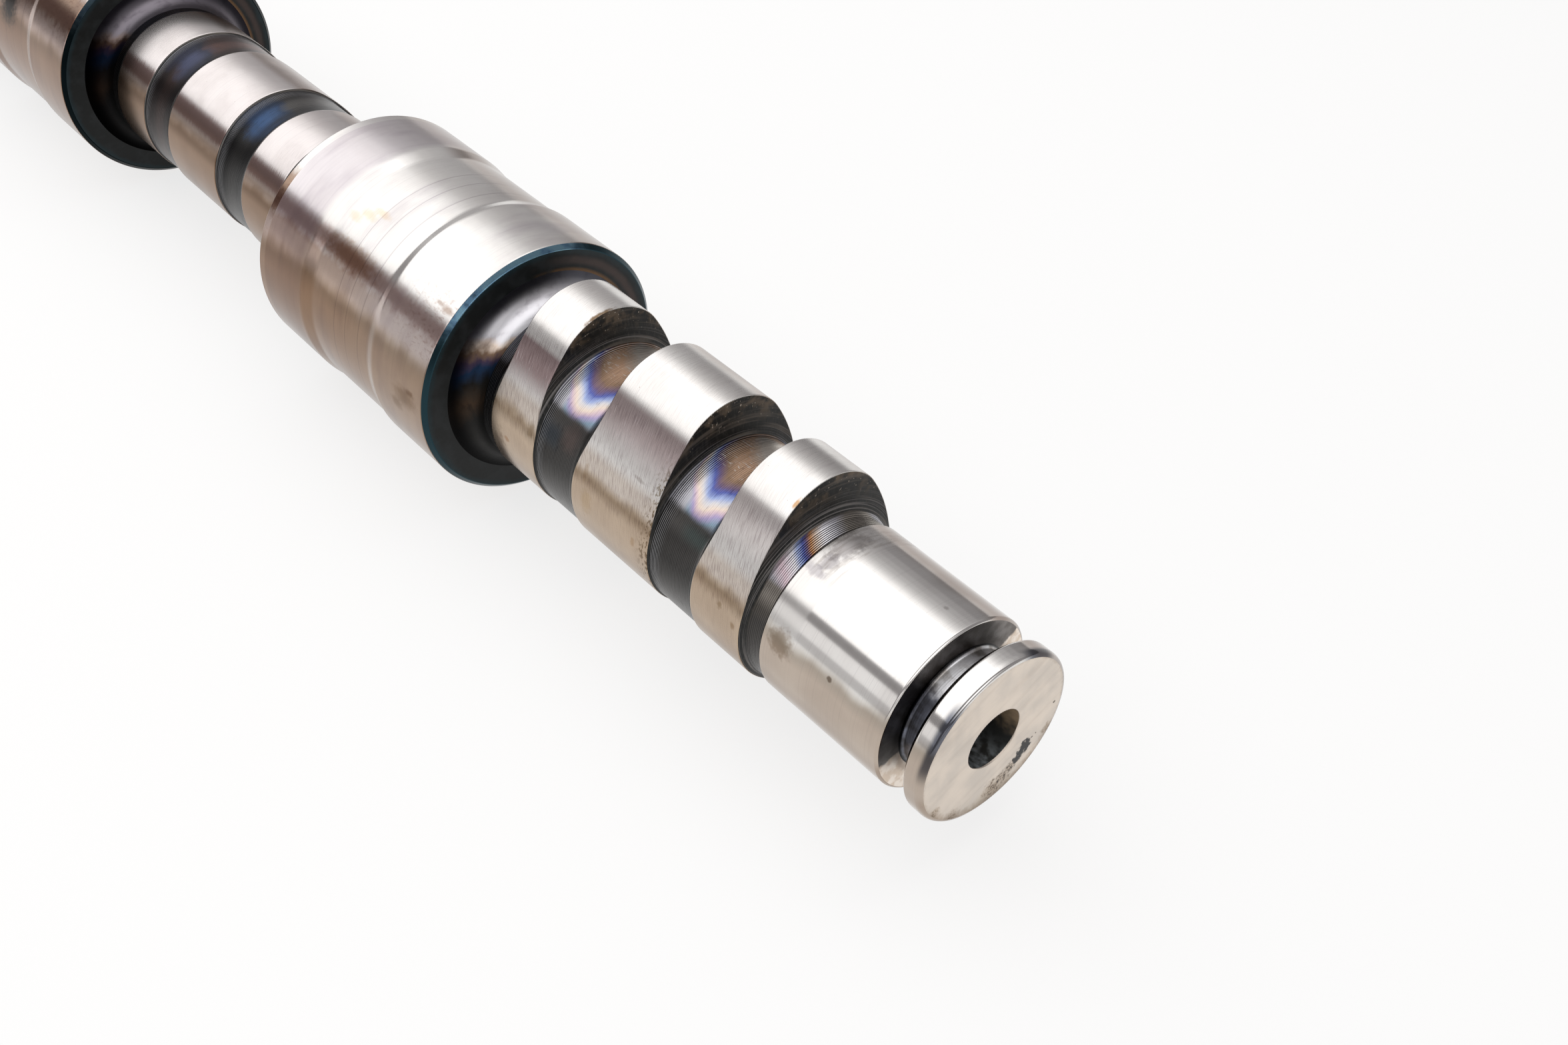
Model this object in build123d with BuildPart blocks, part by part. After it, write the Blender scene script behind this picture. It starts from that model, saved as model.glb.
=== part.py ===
"""Camshaft: one steel shaft, turned and ground, with three lobes for each of three cylinders.

The shaft lies along X. X = 0 is the flat outer face of the thrust collar, and +X runs along
the shaft towards the gear end. Y = 0, Z = 0 is the shaft's axis, and +Z is up. All lengths
are in millimetres.
"""
import math
import os

from build123d import *

# the collar that the thrust plate locates, and its end bore
collar_length = 5.25
collar_radius = 18.35
collar_face_radius = 17.95
collar_face_bevel = 1.0
collar_back_radius = 16.9
collar_back_bevel = 1.2
bore_radius = 6.4
bore_depth = 34.0
bore_tip_depth = 37.8

# the groove that the thrust plate sits in
groove_radius = 12.4
groove_end = 10.55
groove_fillet = 0.8

# the end journal
end_journal_radius = 18.6
end_journal_end = 42.1
end_journal_bevel = 0.4

# the necks between the ground surfaces
first_neck_radius = 18.1
first_neck_overlap = 3.0
neck_radius = 19.05

# the lobes of the first cylinder, each as its near and its far cheek, and the fillets at their feet
lobe_1 = (47.0, 59.1)
lobe_1_fillets = (2.3, 3.3)
lobe_2 = (74.4, 95.5)
lobe_2_fillets = (1.3, 5.0)
lobe_3 = (112.6, 124.85)
lobe_3_fillets = (2.2, 3.4)
fillet_sink = 0.05
lobe_blank_margin = 3.0
base_radius = 19.5
nose_radius = 13.8
flank_radius = 45.0
valve_lobe_top = 28.05
pump_lobe_top = 28.8

# the main journals, with a shallow recess round the middle
journal_start = 136.0
journal_length = 68.9
journal_radius = 30.0
journal_near_bevel = 1.0
journal_far_bevel = 0.7
recess_radius = 29.35
recess_near = (20.2, 22.85)
recess_far = (46.1, 50.0)
flare_length = 6.0
flare_radius = 24.0
journal_back_fillet = 4.5
last_journal_fillet = 2.0

# one cylinder's group repeats along the shaft, and each one's lobes are turned a third of a turn
cylinders = 3
pitch = 172.0
first_phase = 8.5
phase_step = 120.0

# the gear end
gear_neck_length = 5.0
gear_neck_radius = 18.6
gear_nose_length = 30.0
gear_nose_radius = 20.0
gear_nose_bevel = 1.5
centre_hole_radius = 3.15
centre_hole_depth = 9.0
centre_hole_tip_depth = 10.8
centre_hole_mouth_radius = 6.0
centre_hole_mouth_depth = 2.85

last_journal_end = journal_start + (cylinders - 1) * pitch + journal_length
gear_nose_start = last_journal_end + gear_neck_length
shaft_end = gear_nose_start + gear_nose_length


def shaft_outline():
    """The shaft's half section without its lobes, as (x, r) points and arcs by a middle point."""
    parts = [("L", (0.0, 0.0)), ("L", (0.0, collar_face_radius))]
    parts.append(("L", (collar_face_bevel, collar_radius)))
    parts.append(("L", (collar_length - collar_back_bevel, collar_radius)))
    parts.append(("L", (collar_length, collar_back_radius)))
    parts.append(("L", (collar_length, groove_radius + groove_fillet)))
    k = groove_fillet * (1 - math.sqrt(0.5))
    near_corner = (collar_length + groove_fillet, groove_radius)
    far_corner = (groove_end, groove_radius + groove_fillet)
    parts.append(("A", (collar_length + k, groove_radius + k), near_corner))
    parts.append(("L", (groove_end - groove_fillet, groove_radius)))
    parts.append(("A", (groove_end - k, groove_radius + k), far_corner))
    parts.append(("L", (groove_end, end_journal_radius - end_journal_bevel)))
    parts.append(("L", (groove_end + end_journal_bevel, end_journal_radius)))
    parts.append(("L", (end_journal_end - end_journal_bevel, end_journal_radius)))
    parts.append(("L", (end_journal_end, first_neck_radius)))
    parts.append(("L", (lobe_1[0] + first_neck_overlap, first_neck_radius)))
    parts.append(("L", (lobe_1[0] + first_neck_overlap, neck_radius)))
    for i in range(cylinders):
        x0 = journal_start + i * pitch
        # the neck flares into the near face of the journal
        rise = flare_radius - neck_radius
        share = 1 - math.sqrt(0.5)
        flare_middle = (x0 - flare_length * share, neck_radius + rise * share)
        parts.append(("L", (x0 - flare_length, neck_radius)))
        parts.append(("A", flare_middle, (x0, flare_radius)))
        parts.append(("L", (x0, journal_radius - journal_near_bevel)))
        parts.append(("L", (x0 + journal_near_bevel, journal_radius)))
        parts.append(("L", (x0 + recess_near[0], journal_radius)))
        parts.append(("L", (x0 + recess_near[1], recess_radius)))
        parts.append(("L", (x0 + recess_far[0], recess_radius)))
        parts.append(("L", (x0 + recess_far[1], journal_radius)))
        x1 = x0 + journal_length
        parts.append(("L", (x1 - journal_far_bevel, journal_radius)))
        parts.append(("L", (x1, journal_radius - journal_far_bevel)))
        last = i == cylinders - 1
        neck = gear_neck_radius if last else neck_radius
        fillet = last_journal_fillet if last else journal_back_fillet
        inset = fillet * share
        parts.append(("L", (x1, neck + fillet)))
        parts.append(("A", (x1 + inset, neck + inset), (x1 + fillet, neck)))
    parts.append(("L", (gear_nose_start, gear_neck_radius)))
    parts.append(("L", (gear_nose_start, gear_nose_radius)))
    parts.append(("L", (shaft_end - gear_nose_bevel, gear_nose_radius)))
    parts.append(("L", (shaft_end, gear_nose_radius - gear_nose_bevel)))
    parts.append(("L", (shaft_end, 0.0)))
    return parts


def draw(parts):
    """Draw a closed outline from straight runs and three-point arcs in the open line builder."""
    here = parts[0][1]
    for step in parts[1:]:
        if step[0] == "L":
            Line(here, step[1])
            here = step[1]
        else:
            ThreePointArc(here, step[1], step[2])
            here = step[2]
    Line(here, parts[0][1])


def cam_points(top):
    """Tangent points of a cam of a base arc, two flank arcs and a nose arc, with the nose along +Y.

    The flank circle touches the base circle and the nose circle from outside, so its centre is
    flank_radius - base_radius from the shaft's axis and flank_radius - nose_radius from the
    nose circle's centre.
    """
    c = top - nose_radius
    d = flank_radius - base_radius
    e = flank_radius - nose_radius
    along = (d * d - e * e + c * c) / (2 * c)
    across = math.sqrt(d * d - along * along)
    base_y = -along / d * base_radius
    base_x = across / d * base_radius
    nose_y = along + (c - along) / e * flank_radius
    nose_x = -across + across / e * flank_radius
    my = (base_y + nose_y) / 2 - along
    mx = (base_x + nose_x) / 2 + across
    m = math.hypot(mx, my)
    mid = (-across + mx / m * flank_radius, along + my / m * flank_radius)
    return (base_x, base_y), mid, (nose_x, nose_y)


def cam_sketch(top):
    """Draw the closed cam outline in the open line builder, nose along +Y."""
    base, mid, nose = cam_points(top)
    mirror = [(-p[0], p[1]) for p in (base, mid, nose)]
    ThreePointArc(mirror[0], (0.0, -base_radius), base)
    ThreePointArc(base, mid, nose)
    ThreePointArc(nose, (0.0, top), mirror[2])
    ThreePointArc(mirror[2], mirror[1], mirror[0])


def make_lobe(cheeks, fillets, top, phase, near_neck):
    """One lobe: a straight cam, cut to length by a turned blank with a fillet at each cheek's foot.

    Each fillet ends a little way inside the neck, so that it crosses the neck's skin. The cam's
    nose is turned by phase from +Z towards -Y.
    """
    near, far = cheeks
    near_fillet, far_fillet = fillets
    k = 1 - math.sqrt(0.5)
    near_low = near_neck - fillet_sink
    far_low = neck_radius - fillet_sink
    blank_start = near - near_fillet
    blank_end = far + far_fillet
    blank_radius = top + lobe_blank_margin
    near_middle = (near - near_fillet * k, near_low + near_fillet * k)
    far_middle = (far + far_fillet * k, far_low + far_fillet * k)
    turn = math.radians(phase)
    across = (0, math.cos(turn), math.sin(turn))
    cam_plane = Plane(origin=(blank_start, 0, 0), x_dir=across, z_dir=(1, 0, 0))
    with BuildPart() as lobe:
        with BuildSketch(cam_plane):
            with BuildLine():
                cam_sketch(top)
            make_face()
        extrude(amount=blank_end - blank_start)
        with BuildSketch(Plane.XY):
            with BuildLine():
                ThreePointArc((blank_start, near_low), near_middle, (near, near_low + near_fillet))
                Line((near, near_low + near_fillet), (near, blank_radius))
                Line((near, blank_radius), (far, blank_radius))
                Line((far, blank_radius), (far, far_low + far_fillet))
                ThreePointArc((far, far_low + far_fillet), far_middle, (blank_end, far_low))
                Line((blank_end, far_low), (blank_end, 0.0))
                Line((blank_end, 0.0), (blank_start, 0.0))
                Line((blank_start, 0.0), (blank_start, near_low))
            make_face()
        revolve(axis=Axis.X, mode=Mode.INTERSECT)
    return lobe.part


def make_lobes():
    """All lobes: a valve lobe, a wide pump lobe and a valve lobe for each cylinder."""
    group = (
        (lobe_1, lobe_1_fillets, valve_lobe_top),
        (lobe_2, lobe_2_fillets, pump_lobe_top),
        (lobe_3, lobe_3_fillets, valve_lobe_top),
    )
    lobes = []
    for i in range(cylinders):
        for cheeks, fillets, top in group:
            first = i == 0 and cheeks == lobe_1
            near_neck = first_neck_radius if first else neck_radius
            phase = first_phase + i * phase_step
            placed = (cheeks[0] + i * pitch, cheeks[1] + i * pitch)
            lobes.append(make_lobe(placed, fillets, top, phase, near_neck))
    return lobes


all_lobes = make_lobes()

with BuildPart() as camshaft:
    with BuildSketch(Plane.XY):
        with BuildLine():
            draw(shaft_outline())
        make_face()
    revolve(axis=Axis.X)
    add(all_lobes)
    # the blind bore in the collar end
    with BuildSketch(Plane.XY):
        with BuildLine():
            Polyline(
                (0.0, 0.0),
                (0.0, bore_radius),
                (bore_depth, bore_radius),
                (bore_tip_depth, 0.0),
                (0.0, 0.0),
            )
        make_face()
    revolve(axis=Axis.X, mode=Mode.SUBTRACT)
    # the centre hole in the gear end
    with BuildSketch(Plane.XY):
        with BuildLine():
            Polyline(
                (shaft_end, 0.0),
                (shaft_end, centre_hole_mouth_radius),
                (shaft_end - centre_hole_mouth_depth, centre_hole_radius),
                (shaft_end - centre_hole_depth, centre_hole_radius),
                (shaft_end - centre_hole_tip_depth, 0.0),
                (shaft_end, 0.0),
            )
        make_face()
    revolve(axis=Axis.X, mode=Mode.SUBTRACT)

camshaft.part.label = "camshaft"
os.makedirs("parts", exist_ok=True)
export_step(camshaft.part, "parts/camshaft.step")
print("solids", len(camshaft.part.solids()), "faces", len(camshaft.part.faces()))
print("volume", round(camshaft.part.volume, 1), "box", camshaft.part.bounding_box())
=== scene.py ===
"""Camshaft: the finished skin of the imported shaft, with its camera, floor and light.

The shaft lies along X from the collar's face at 0, with its axis on Y = Z = 0 and +Z up. The
numbers of the shaft are in millimetres, as on a drawing, and are turned to metres only where
the mesh, the lamps and the camera are made. Angles round the shaft are in degrees from +Z
towards +Y.
"""
import math
import bpy
import numpy as np
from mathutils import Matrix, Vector


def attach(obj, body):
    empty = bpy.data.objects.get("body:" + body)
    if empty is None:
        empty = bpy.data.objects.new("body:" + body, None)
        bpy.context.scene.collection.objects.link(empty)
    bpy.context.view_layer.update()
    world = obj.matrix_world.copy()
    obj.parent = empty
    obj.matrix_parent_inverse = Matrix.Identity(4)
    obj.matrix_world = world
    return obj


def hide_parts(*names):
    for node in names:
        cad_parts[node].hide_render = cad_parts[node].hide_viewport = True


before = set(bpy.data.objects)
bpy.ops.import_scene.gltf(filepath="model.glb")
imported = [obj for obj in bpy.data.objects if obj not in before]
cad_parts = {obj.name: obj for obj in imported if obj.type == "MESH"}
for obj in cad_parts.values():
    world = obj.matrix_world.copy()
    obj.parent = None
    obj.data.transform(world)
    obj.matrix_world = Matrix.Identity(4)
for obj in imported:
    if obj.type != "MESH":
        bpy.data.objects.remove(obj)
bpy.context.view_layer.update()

MM = 0.001

# the shaft, as it was turned and ground
COLLAR_END = 5.25
COLLAR_RADIUS = 18.35
COLLAR_FACE_RADIUS = 17.95
COLLAR_FACE_BEVEL = 1.0
COLLAR_BACK_RADIUS = 16.9
COLLAR_BACK_BEVEL = 1.2
BORE_RADIUS = 6.4
BORE_DEPTH = 34.0
BORE_TIP = 37.8
GROOVE_RADIUS = 12.4
GROOVE_END = 10.55
GROOVE_FILLET = 0.8
END_JOURNAL_RADIUS = 18.6
END_JOURNAL_END = 42.1
END_JOURNAL_BEVEL = 0.4
FIRST_NECK_RADIUS = 18.1
NECK_RADIUS = 19.05
BASE_RADIUS = 19.5
NOSE_RADIUS = 13.8
FLANK_RADIUS = 45.0
FILLET_SINK = 0.05

# each lobe of a cylinder: near and far cheek, near and far fillet, and the top of its nose
LOBES = (
    (47.0, 59.1, 2.3, 3.3, 28.05),
    (74.4, 95.5, 1.3, 5.0, 28.8),
    (112.6, 124.85, 2.2, 3.4, 28.05),
)
JOURNAL_START = 136.0
JOURNAL_LENGTH = 68.9
JOURNAL_RADIUS = 30.0
JOURNAL_NEAR_BEVEL = 1.0
JOURNAL_FAR_BEVEL = 0.7
RECESS_RADIUS = 29.35
RECESS_NEAR = (20.2, 22.85)
RECESS_FAR = (46.1, 50.0)
FLARE_LENGTH = 6.0
FLARE_RADIUS = 24.0
JOURNAL_BACK_FILLET = 4.5
LAST_JOURNAL_FILLET = 2.0
CYLINDERS = 3
PITCH = 172.0
FIRST_PHASE = 8.5
PHASE_STEP = 120.0
GEAR_NECK_LENGTH = 5.0
GEAR_NECK_RADIUS = 18.6
GEAR_NOSE_LENGTH = 30.0
GEAR_NOSE_RADIUS = 20.0
GEAR_NOSE_BEVEL = 1.5
CENTRE_RADIUS = 3.15
CENTRE_DEPTH = 9.0
CENTRE_TIP = 10.8
CENTRE_MOUTH_RADIUS = 6.0
CENTRE_MOUTH_DEPTH = 2.85
LAST_JOURNAL_END = JOURNAL_START + (CYLINDERS - 1) * PITCH + JOURNAL_LENGTH
SHAFT_END = LAST_JOURNAL_END + GEAR_NECK_LENGTH + GEAR_NOSE_LENGTH

# patterns that repeat from cylinder to cylinder take the first one to begin here
GROUP_START = 30.0

# how finely the skin is divided round the shaft
COLUMNS = 160
AROUND = np.linspace(-180.0, 180.0, COLUMNS, endpoint=False)
QUARTER_SHARE = 1.0 - math.sqrt(0.5)

# how edges are rounded: most of them, the bore's mouth and the collar's back, its bevel's end,
# and the softest; HOLD is the step between the two rows that hold each end of a rounding
EDGE = 0.14
MOUTH_EDGE = 0.3
RIM_EDGE = 0.35
SOFT_EDGE = 0.5
HOLD = 0.1

# a lobe's side: the runs on its fillet and on its cheek, the stops that are finished as the neck
# is, the room left below the cam's edge, and the most of the way that the fillet's runs take
FILLET_PARTS = 5
CHEEK_PARTS = 2
FILLET_FOOT = 3
EDGE_ROOM = 0.35
LONGEST_FOOT = 0.7

# the runs of the arcs in the groove, on a flare and behind a journal
GROOVE_PARTS = 5
FLARE_PARTS = 7
BACK_FILLET_PARTS = 6


def cam_radius(angle, top):
    """Radius of the cam at an angle from its nose.

    Within the nose arc it is the far crossing of a ray with the nose circle, on the flank it is
    the near crossing with the flank circle, which touches nose and base from outside, and past
    the flank it is the base circle's radius.
    """
    a = np.radians(np.abs((angle + 180.0) % 360.0 - 180.0))
    c = top - NOSE_RADIUS
    d = FLANK_RADIUS - BASE_RADIUS
    e = FLANK_RADIUS - NOSE_RADIUS
    along = (d * d - e * e + c * c) / (2.0 * c)
    across = -math.sqrt(d * d - along * along)
    base_turn = math.atan2(-across, -along)
    reach = FLANK_RADIUS / e
    nose_turn = math.atan2(across - across * reach, along + (c - along) * reach)
    nose = c * np.cos(a) + np.sqrt(np.maximum(NOSE_RADIUS**2 - (c * np.sin(a)) ** 2, 0.0))
    towards = along * np.cos(a) + across * np.sin(a)
    chord = np.sqrt(np.maximum(towards**2 - (d * d - FLANK_RADIUS**2), 0.0))
    flank = np.where(towards > chord, towards - chord, towards + chord)
    radius = np.where(a < nose_turn, nose, flank)
    return np.where(a >= base_turn, BASE_RADIUS, radius)


def at(x, r):
    """A stop of the outline: the same x and radius in every column, or an array of them."""
    return np.array([x + 0.0 * AROUND, r + 0.0 * AROUND])


def arc(start, middle, end, parts):
    """Stops on the circle through three points, without the first, evenly by angle."""
    (ax, ay), (bx, by), (cx, cy) = start, middle, end
    twice = 2.0 * (ax * (by - cy) + bx * (cy - ay) + cx * (ay - by))
    a2 = ax * ax + ay * ay
    b2 = bx * bx + by * by
    c2 = cx * cx + cy * cy
    ox = (a2 * (by - cy) + b2 * (cy - ay) + c2 * (ay - by)) / twice
    oy = (a2 * (cx - bx) + b2 * (ax - cx) + c2 * (bx - ax)) / twice
    radius = math.hypot(ax - ox, ay - oy)
    first = math.atan2(ay - oy, ax - ox)
    sweep = (math.atan2(cy - oy, cx - ox) - first + math.pi) % (2.0 * math.pi) - math.pi
    turns = first + sweep * np.arange(1, parts + 1) / parts
    return [at(ox + radius * math.cos(t), oy + radius * math.sin(t)) for t in turns]


def climb(cheek, side, fillet, neck, cam):
    """Stops from the neck's skin up a fillet and a cheek to the cam's edge, in every column.

    The fillet is a quarter circle that starts a little inside the neck. The way up is measured
    along the arc and then along the cheek; in a column where the cam is lower than the arc's end
    it stops on the arc. side is -1 for a near cheek and 1 for a far one.
    """
    low = neck - FILLET_SINK
    first = math.acos(1.0 - FILLET_SINK / fillet)
    height = np.minimum(cam - low, fillet)
    last = np.arccos(1.0 - height / fillet)
    on_arc = fillet * (last - first)
    way = on_arc + np.maximum(cam - low - fillet, 0.0)
    usable = way - EDGE_ROOM
    foot = np.minimum(fillet * (math.pi / 2.0 - first), LONGEST_FOOT * usable)
    ways = [foot * k / FILLET_PARTS for k in range(FILLET_PARTS + 1)]
    ways += [foot + (usable - foot) * k / CHEEK_PARTS for k in range(1, CHEEK_PARTS + 1)]
    stops = []
    for s in ways + [way]:
        turn = first + np.minimum(s, on_arc) / fillet
        x = cheek + side * fillet * (1.0 - np.sin(turn))
        r = low + fillet * (1.0 - np.cos(turn)) + np.maximum(s - on_arc, 0.0)
        stops.append(np.array([x, r]))
    return stops


class Outline:
    """The shaft's outline as stops, each with its edge rounding and the finish that leads to it."""

    def __init__(self, x, r):
        self.stops = [at(x, r)]
        self.edges = [0.0]
        self.finishes = [0]

    def to(self, stop, finish, edge=0.0, parts=1):
        """A straight run to a stop, in some parts, with its far end rounded by edge."""
        here = self.stops[-1]
        for k in range(1, parts + 1):
            self.stops.append(here + (stop - here) * (k / parts))
            self.edges.append(edge if k == parts else 0.0)
            self.finishes.append(FINISHES.index(finish))

    def line(self, x, r, finish, edge=EDGE, parts=1):
        """A straight run to a turned corner."""
        self.to(at(x, r), finish, edge, parts)

    def curve(self, stops, finish):
        """A smooth run through stops that need no rounding."""
        for stop in stops:
            self.to(stop, finish)

    def rows(self):
        """Rows of the skin: each rounded stop becomes a short curve between two held rows.

        The curve is a quadratic one whose middle point is the corner, and its ends lie the
        edge's size along the two runs.
        """
        rows = [self.stops[0]]
        finishes = [0]
        for k in range(1, len(self.stops)):
            stop = self.stops[k]
            finish = self.finishes[k]
            if not self.edges[k]:
                rows.append(stop)
                finishes.append(finish)
                continue
            back = self.stops[k - 1] - stop
            ahead = self.stops[k + 1] - stop
            back = back / np.hypot(*back)
            ahead = ahead / np.hypot(*ahead)
            after = self.finishes[k + 1]
            size = self.edges[k]
            rows.append(stop + back * (size + HOLD))
            rows.append(stop + back * size)
            finishes += [finish, finish]
            rows.append(stop + (back + ahead) * (size / 4.0))
            finishes.append(max(finish, after))
            rows.append(stop + ahead * size)
            rows.append(stop + ahead * (size + HOLD))
            finishes += [max(finish, after), after]
        return np.array(rows), np.array(finishes)


def collar_outline(line):
    """From the bore's tip out over the collar, the groove and the end journal."""
    line.line(BORE_DEPTH, BORE_RADIUS, "bore_wall", parts=2)
    line.line(0.0, BORE_RADIUS, "bore_wall", edge=MOUTH_EDGE, parts=2)
    line.line(0.0, COLLAR_FACE_RADIUS, "collar_face", edge=SOFT_EDGE)
    line.line(COLLAR_FACE_BEVEL, COLLAR_RADIUS, "collar_rim", edge=RIM_EDGE)
    back_bevel = COLLAR_END - COLLAR_BACK_BEVEL
    line.line(back_bevel, COLLAR_RADIUS, "collar_rim", edge=MOUTH_EDGE, parts=2)
    line.line(COLLAR_END, COLLAR_BACK_RADIUS, "collar_rim")
    line.line(COLLAR_END, GROOVE_RADIUS + GROOVE_FILLET, "groove", edge=0.0, parts=2)
    k = GROOVE_FILLET * QUARTER_SHARE
    high = GROOVE_RADIUS + GROOVE_FILLET
    near = ((COLLAR_END, high), (COLLAR_END + k, GROOVE_RADIUS + k))
    line.curve(arc(*near, (COLLAR_END + GROOVE_FILLET, GROOVE_RADIUS), GROOVE_PARTS), "groove")
    far_start = (GROOVE_END - GROOVE_FILLET, GROOVE_RADIUS)
    line.line(*far_start, "groove", edge=0.0, parts=2)
    far_middle = (GROOVE_END - k, GROOVE_RADIUS + k)
    line.curve(arc(far_start, far_middle, (GROOVE_END, high), GROOVE_PARTS), "groove")
    line.line(GROOVE_END, END_JOURNAL_RADIUS - END_JOURNAL_BEVEL, "end_face", parts=2)
    line.line(GROOVE_END + END_JOURNAL_BEVEL, END_JOURNAL_RADIUS, "end_journal")
    far_edge = END_JOURNAL_END - END_JOURNAL_BEVEL
    line.line(far_edge, END_JOURNAL_RADIUS, "end_journal", parts=2)
    line.line(END_JOURNAL_END, FIRST_NECK_RADIUS, "end_journal")


def lobe_outline(line, shape, shift, phase, near_neck, run_in):
    """From the neck up one lobe's near cheek, over its cam and down its far cheek."""
    near, far, near_fillet, far_fillet, top = shape
    cam = cam_radius(AROUND + phase, top)
    up = climb(near + shift, -1.0, near_fillet, near_neck, cam)
    down = climb(far + shift, 1.0, far_fillet, NECK_RADIUS, cam)[::-1]
    line.curve(up[:FILLET_FOOT], run_in)
    line.curve(up[FILLET_FOOT:-1], "cheek")
    line.to(up[-1], "cheek", edge=EDGE)
    line.to(down[0], "lobe", edge=EDGE, parts=2)
    line.curve(down[1:-FILLET_FOOT], "cheek")
    line.curve(down[-FILLET_FOOT:], "neck")


def journal_outline(line, start, last):
    """From the neck out over one main journal with its shallow recess, and down behind it."""
    rise = FLARE_RADIUS - NECK_RADIUS
    foot = (start - FLARE_LENGTH, NECK_RADIUS)
    middle = (start - FLARE_LENGTH * QUARTER_SHARE, NECK_RADIUS + rise * QUARTER_SHARE)
    line.line(*foot, "neck", edge=0.0)
    line.curve(arc(foot, middle, (start, FLARE_RADIUS), FLARE_PARTS), "flare")
    line.line(start, JOURNAL_RADIUS - JOURNAL_NEAR_BEVEL, "journal_face")
    line.line(start + JOURNAL_NEAR_BEVEL, JOURNAL_RADIUS, "journal_rim")
    line.line(start + RECESS_NEAR[0], JOURNAL_RADIUS, "journal", edge=SOFT_EDGE)
    line.line(start + RECESS_NEAR[1], RECESS_RADIUS, "journal", edge=SOFT_EDGE)
    line.line(start + RECESS_FAR[0], RECESS_RADIUS, "journal", edge=SOFT_EDGE)
    line.line(start + RECESS_FAR[1], JOURNAL_RADIUS, "journal", edge=SOFT_EDGE)
    end = start + JOURNAL_LENGTH
    line.line(end - JOURNAL_FAR_BEVEL, JOURNAL_RADIUS, "journal")
    line.line(end, JOURNAL_RADIUS - JOURNAL_FAR_BEVEL, "journal")
    fillet = LAST_JOURNAL_FILLET if last else JOURNAL_BACK_FILLET
    neck = GEAR_NECK_RADIUS if last else NECK_RADIUS
    top = (end, neck + fillet)
    middle = (end + fillet * QUARTER_SHARE, neck + fillet * QUARTER_SHARE)
    line.line(*top, "journal_face", edge=0.0)
    line.curve(arc(top, middle, (end + fillet, neck), BACK_FILLET_PARTS), "journal_face")


def gear_outline(line):
    """The gear end: a short neck, the seat with its bevel, the end face and the centre hole."""
    start = LAST_JOURNAL_END + GEAR_NECK_LENGTH
    line.line(start, GEAR_NECK_RADIUS, "gear_end")
    line.line(start, GEAR_NOSE_RADIUS, "gear_end")
    line.line(SHAFT_END - GEAR_NOSE_BEVEL, GEAR_NOSE_RADIUS, "gear_end", parts=2)
    line.line(SHAFT_END, GEAR_NOSE_RADIUS - GEAR_NOSE_BEVEL, "gear_end")
    line.line(SHAFT_END, CENTRE_MOUTH_RADIUS, "gear_end", parts=2)
    line.line(SHAFT_END - CENTRE_MOUTH_DEPTH, CENTRE_RADIUS, "gear_end")
    line.line(SHAFT_END - CENTRE_DEPTH, CENTRE_RADIUS, "gear_end", edge=0.0, parts=2)
    line.line(SHAFT_END - CENTRE_TIP, 0.0, "gear_end", edge=0.0)


def shaft_outline():
    """The whole outline from the bore's tip to the centre hole's tip."""
    line = Outline(BORE_TIP, 0.0)
    collar_outline(line)
    for i in range(CYLINDERS):
        shift = i * PITCH
        phase = FIRST_PHASE + i * PHASE_STEP
        for k, shape in enumerate(LOBES):
            first = i == 0 and k == 0
            near_neck = FIRST_NECK_RADIUS if first else NECK_RADIUS
            lobe_outline(line, shape, shift, phase, near_neck, "first_neck" if first else "neck")
        journal_outline(line, JOURNAL_START + shift, i == CYLINDERS - 1)
    gear_outline(line)
    return line


def make_skin(name, line):
    """The closed skin: rows of the outline turned round X, closed by a fan at each tip.

    A point at x, radius r and angle a lies at (x, r sin a, r cos a), so that a face of two rows
    and two columns, rows first, looks outwards.
    """
    rows, finishes = line.rows()
    x = rows[1:-1, 0]
    r = rows[1:-1, 1]
    count = len(x)
    turn = np.radians(AROUND)
    points = np.stack([x, r * np.sin(turn), r * np.cos(turn)], axis=-1).reshape(-1, 3)
    tips = np.array([[rows[0, 0, 0], 0.0, 0.0], [rows[-1, 0, 0], 0.0, 0.0]])
    points = np.vstack([points, tips]) * MM
    first_tip = count * COLUMNS
    last_tip = first_tip + 1
    i, j = np.meshgrid(np.arange(count - 1), np.arange(COLUMNS), indexing="ij")
    here = (i * COLUMNS + j).ravel()
    beside = (i * COLUMNS + (j + 1) % COLUMNS).ravel()
    quads = np.stack([here, here + COLUMNS, beside + COLUMNS, beside], axis=1)
    column = np.arange(COLUMNS)
    after = (column + 1) % COLUMNS
    last_row = (count - 1) * COLUMNS
    first_fan = np.stack([np.full(COLUMNS, first_tip), column, after], axis=1)
    last_fan = np.stack([last_row + column, np.full(COLUMNS, last_tip), last_row + after], axis=1)
    mesh = bpy.data.meshes.new(name)
    faces = first_fan.tolist() + quads.tolist() + last_fan.tolist()
    mesh.from_pydata(points.tolist(), [], faces)
    strip = np.repeat(finishes[2:-1], COLUMNS)
    ends = (np.full(COLUMNS, finishes[1]), np.full(COLUMNS, finishes[-1]))
    mesh.polygons.foreach_set("material_index", np.concatenate([ends[0], strip, ends[1]]))
    mesh.polygons.foreach_set("use_smooth", np.ones(len(faces), bool))
    add_turned_map(mesh, rows, count)
    mesh.validate()
    mesh.update()
    piece = bpy.data.objects.new(name, mesh)
    bpy.context.scene.collection.objects.link(piece)
    return piece


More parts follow.
